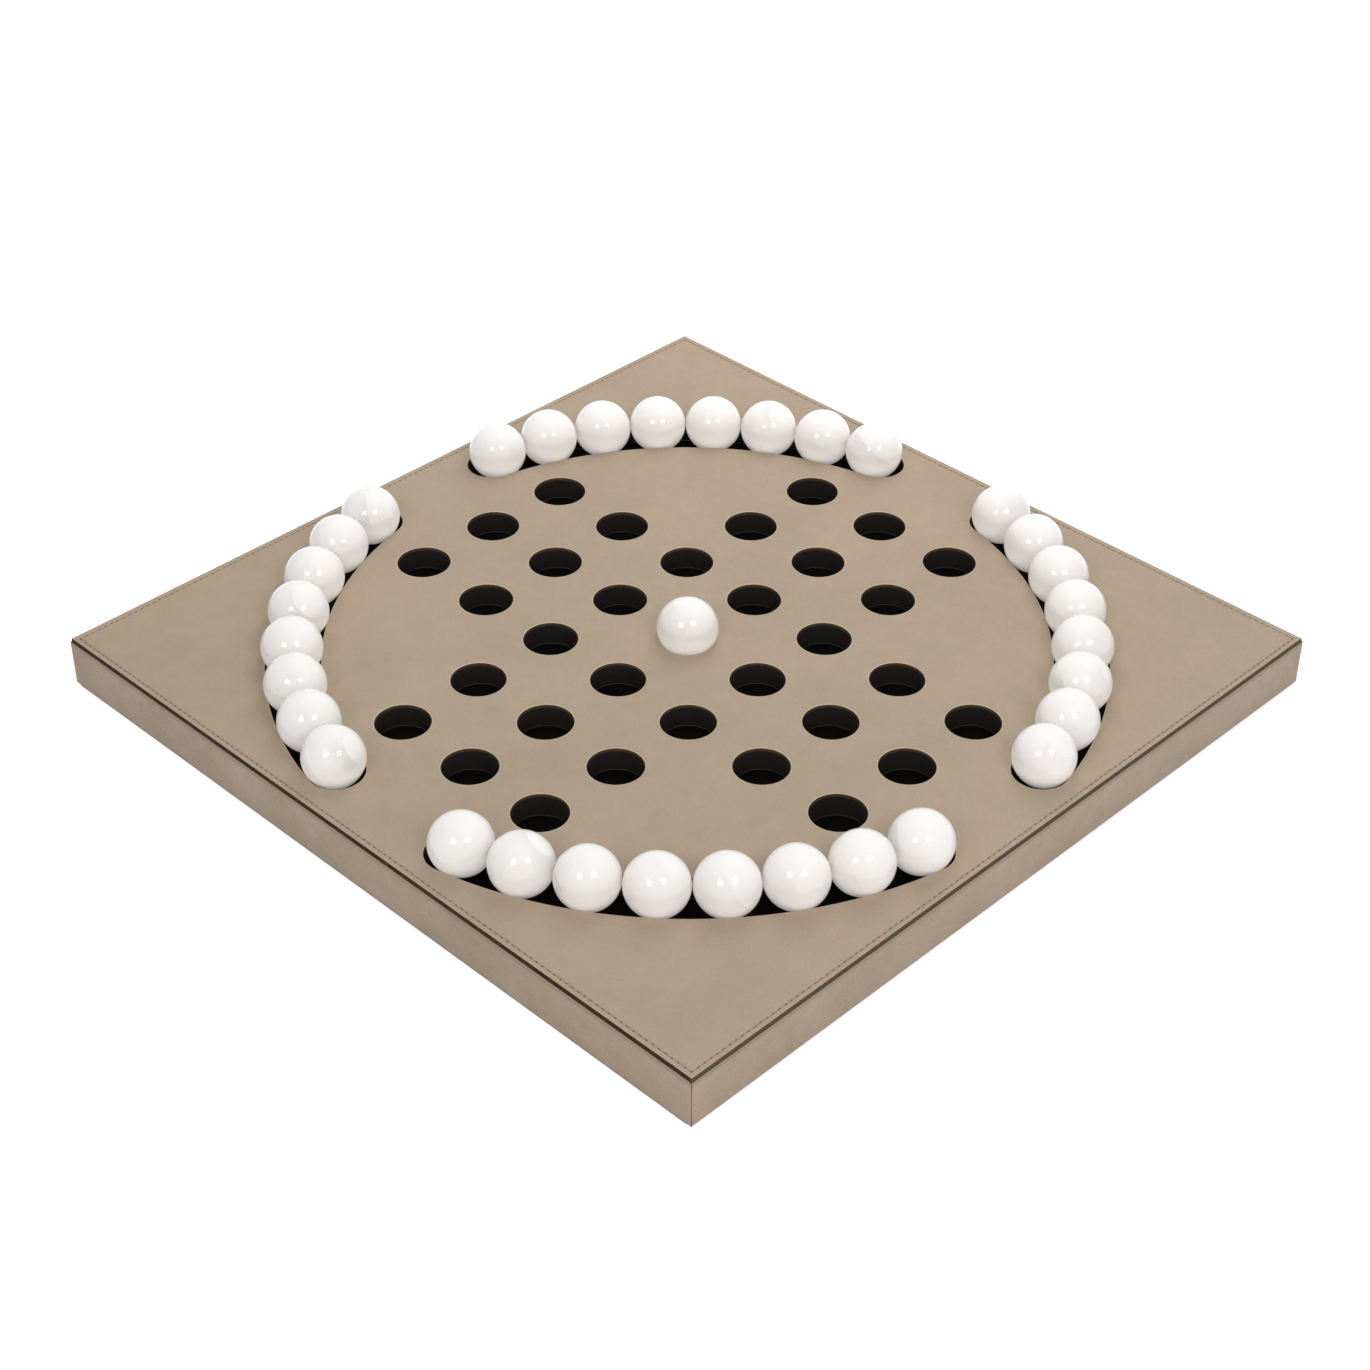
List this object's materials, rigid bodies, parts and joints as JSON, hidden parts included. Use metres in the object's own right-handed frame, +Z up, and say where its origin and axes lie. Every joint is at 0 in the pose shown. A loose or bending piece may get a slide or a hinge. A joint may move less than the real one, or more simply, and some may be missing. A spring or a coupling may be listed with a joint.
{
  "type": "peg solitaire board",
  "caption": "Square leather-clad board for marble solitaire: a cross of round sockets, a curved tray of marbles at each corner and one marble in the middle socket.",
  "frame": {"origin": "middle of the underside", "axes": "+Z up, out of the sockets; X and Y along the board's edges and the rows of sockets, -Y the front"},
  "size_m": [0.352, 0.352, 0.0409],
  "materials": {
    "taupe_leather": "smooth matt grain, cut edges painted dark brown",
    "side_leather": "smooth matt grain",
    "brown_backing": "bonded leather, edges painted dark brown",
    "black_board": "fibreboard, drilled and routed, stained black",
    "black_felt": "thin black felt",
    "raw_board": "bare fibreboard",
    "brown_suede": "suede",
    "pearl_glass": "opaque white glass with a pearl lustre, polished"
  },
  "bodies": {
    "board": {"top_leather": "taupe_leather", "top_backing": "brown_backing", "drilled_board": "black_board", "floor_lining": "black_felt", "base_board": "raw_board", "base_lining": "brown_suede", "side_leather_right": "side_leather", "side_leather_back": "side_leather", "side_leather_left": "side_leather", "side_leather_front": "side_leather"},
    "marble_centre": {"marble_centre": "pearl_glass"},
    "marble_front_right_1": {"marble_front_right_1": "pearl_glass"},
    "marble_front_right_2": {"marble_front_right_2": "pearl_glass"},
    "marble_front_right_3": {"marble_front_right_3": "pearl_glass"},
    "marble_front_right_4": {"marble_front_right_4": "pearl_glass"},
    "marble_front_right_5": {"marble_front_right_5": "pearl_glass"},
    "marble_front_right_6": {"marble_front_right_6": "pearl_glass"},
    "marble_front_right_7": {"marble_front_right_7": "pearl_glass"},
    "marble_front_right_8": {"marble_front_right_8": "pearl_glass"},
    "marble_back_right_1": {"marble_back_right_1": "pearl_glass"},
    "marble_back_right_2": {"marble_back_right_2": "pearl_glass"},
    "marble_back_right_3": {"marble_back_right_3": "pearl_glass"},
    "marble_back_right_4": {"marble_back_right_4": "pearl_glass"},
    "marble_back_right_5": {"marble_back_right_5": "pearl_glass"},
    "marble_back_right_6": {"marble_back_right_6": "pearl_glass"},
    "marble_back_right_7": {"marble_back_right_7": "pearl_glass"},
    "marble_back_right_8": {"marble_back_right_8": "pearl_glass"},
    "marble_back_left_1": {"marble_back_left_1": "pearl_glass"},
    "marble_back_left_2": {"marble_back_left_2": "pearl_glass"},
    "marble_back_left_3": {"marble_back_left_3": "pearl_glass"},
    "marble_back_left_4": {"marble_back_left_4": "pearl_glass"},
    "marble_back_left_5": {"marble_back_left_5": "pearl_glass"},
    "marble_back_left_6": {"marble_back_left_6": "pearl_glass"},
    "marble_back_left_7": {"marble_back_left_7": "pearl_glass"},
    "marble_back_left_8": {"marble_back_left_8": "pearl_glass"},
    "marble_front_left_1": {"marble_front_left_1": "pearl_glass"},
    "marble_front_left_2": {"marble_front_left_2": "pearl_glass"},
    "marble_front_left_3": {"marble_front_left_3": "pearl_glass"},
    "marble_front_left_4": {"marble_front_left_4": "pearl_glass"},
    "marble_front_left_5": {"marble_front_left_5": "pearl_glass"},
    "marble_front_left_6": {"marble_front_left_6": "pearl_glass"},
    "marble_front_left_7": {"marble_front_left_7": "pearl_glass"},
    "marble_front_left_8": {"marble_front_left_8": "pearl_glass"}
  },
  "joints": [
    {"name": "lift_marble_centre", "type": "slide", "parent": "board", "child": "marble_centre", "axis": [0, 0, 1], "range_m": [0, 0.06]},
    {"name": "lift_marble_front_right_1", "type": "slide", "parent": "board", "child": "marble_front_right_1", "axis": [0, 0, 1], "range_m": [0, 0.06]},
    {"name": "lift_marble_front_right_2", "type": "slide", "parent": "board", "child": "marble_front_right_2", "axis": [0, 0, 1], "range_m": [0, 0.06]},
    {"name": "lift_marble_front_right_3", "type": "slide", "parent": "board", "child": "marble_front_right_3", "axis": [0, 0, 1], "range_m": [0, 0.06]},
    {"name": "lift_marble_front_right_4", "type": "slide", "parent": "board", "child": "marble_front_right_4", "axis": [0, 0, 1], "range_m": [0, 0.06]},
    {"name": "lift_marble_front_right_5", "type": "slide", "parent": "board", "child": "marble_front_right_5", "axis": [0, 0, 1], "range_m": [0, 0.06]},
    {"name": "lift_marble_front_right_6", "type": "slide", "parent": "board", "child": "marble_front_right_6", "axis": [0, 0, 1], "range_m": [0, 0.06]},
    {"name": "lift_marble_front_right_7", "type": "slide", "parent": "board", "child": "marble_front_right_7", "axis": [0, 0, 1], "range_m": [0, 0.06]},
    {"name": "lift_marble_front_right_8", "type": "slide", "parent": "board", "child": "marble_front_right_8", "axis": [0, 0, 1], "range_m": [0, 0.06]},
    {"name": "lift_marble_back_right_1", "type": "slide", "parent": "board", "child": "marble_back_right_1", "axis": [0, 0, 1], "range_m": [0, 0.06]},
    {"name": "lift_marble_back_right_2", "type": "slide", "parent": "board", "child": "marble_back_right_2", "axis": [0, 0, 1], "range_m": [0, 0.06]},
    {"name": "lift_marble_back_right_3", "type": "slide", "parent": "board", "child": "marble_back_right_3", "axis": [0, 0, 1], "range_m": [0, 0.06]},
    {"name": "lift_marble_back_right_4", "type": "slide", "parent": "board", "child": "marble_back_right_4", "axis": [0, 0, 1], "range_m": [0, 0.06]},
    {"name": "lift_marble_back_right_5", "type": "slide", "parent": "board", "child": "marble_back_right_5", "axis": [0, 0, 1], "range_m": [0, 0.06]},
    {"name": "lift_marble_back_right_6", "type": "slide", "parent": "board", "child": "marble_back_right_6", "axis": [0, 0, 1], "range_m": [0, 0.06]},
    {"name": "lift_marble_back_right_7", "type": "slide", "parent": "board", "child": "marble_back_right_7", "axis": [0, 0, 1], "range_m": [0, 0.06]},
    {"name": "lift_marble_back_right_8", "type": "slide", "parent": "board", "child": "marble_back_right_8", "axis": [0, 0, 1], "range_m": [0, 0.06]},
    {"name": "lift_marble_back_left_1", "type": "slide", "parent": "board", "child": "marble_back_left_1", "axis": [0, 0, 1], "range_m": [0, 0.06]},
    {"name": "lift_marble_back_left_2", "type": "slide", "parent": "board", "child": "marble_back_left_2", "axis": [0, 0, 1], "range_m": [0, 0.06]},
    {"name": "lift_marble_back_left_3", "type": "slide", "parent": "board", "child": "marble_back_left_3", "axis": [0, 0, 1], "range_m": [0, 0.06]},
    {"name": "lift_marble_back_left_4", "type": "slide", "parent": "board", "child": "marble_back_left_4", "axis": [0, 0, 1], "range_m": [0, 0.06]},
    {"name": "lift_marble_back_left_5", "type": "slide", "parent": "board", "child": "marble_back_left_5", "axis": [0, 0, 1], "range_m": [0, 0.06]},
    {"name": "lift_marble_back_left_6", "type": "slide", "parent": "board", "child": "marble_back_left_6", "axis": [0, 0, 1], "range_m": [0, 0.06]},
    {"name": "lift_marble_back_left_7", "type": "slide", "parent": "board", "child": "marble_back_left_7", "axis": [0, 0, 1], "range_m": [0, 0.06]},
    {"name": "lift_marble_back_left_8", "type": "slide", "parent": "board", "child": "marble_back_left_8", "axis": [0, 0, 1], "range_m": [0, 0.06]},
    {"name": "lift_marble_front_left_1", "type": "slide", "parent": "board", "child": "marble_front_left_1", "axis": [0, 0, 1], "range_m": [0, 0.06]},
    {"name": "lift_marble_front_left_2", "type": "slide", "parent": "board", "child": "marble_front_left_2", "axis": [0, 0, 1], "range_m": [0, 0.06]},
    {"name": "lift_marble_front_left_3", "type": "slide", "parent": "board", "child": "marble_front_left_3", "axis": [0, 0, 1], "range_m": [0, 0.06]},
    {"name": "lift_marble_front_left_4", "type": "slide", "parent": "board", "child": "marble_front_left_4", "axis": [0, 0, 1], "range_m": [0, 0.06]},
    {"name": "lift_marble_front_left_5", "type": "slide", "parent": "board", "child": "marble_front_left_5", "axis": [0, 0, 1], "range_m": [0, 0.06]},
    {"name": "lift_marble_front_left_6", "type": "slide", "parent": "board", "child": "marble_front_left_6", "axis": [0, 0, 1], "range_m": [0, 0.06]},
    {"name": "lift_marble_front_left_7", "type": "slide", "parent": "board", "child": "marble_front_left_7", "axis": [0, 0, 1], "range_m": [0, 0.06]},
    {"name": "lift_marble_front_left_8", "type": "slide", "parent": "board", "child": "marble_front_left_8", "axis": [0, 0, 1], "range_m": [0, 0.06]}
  ]
}
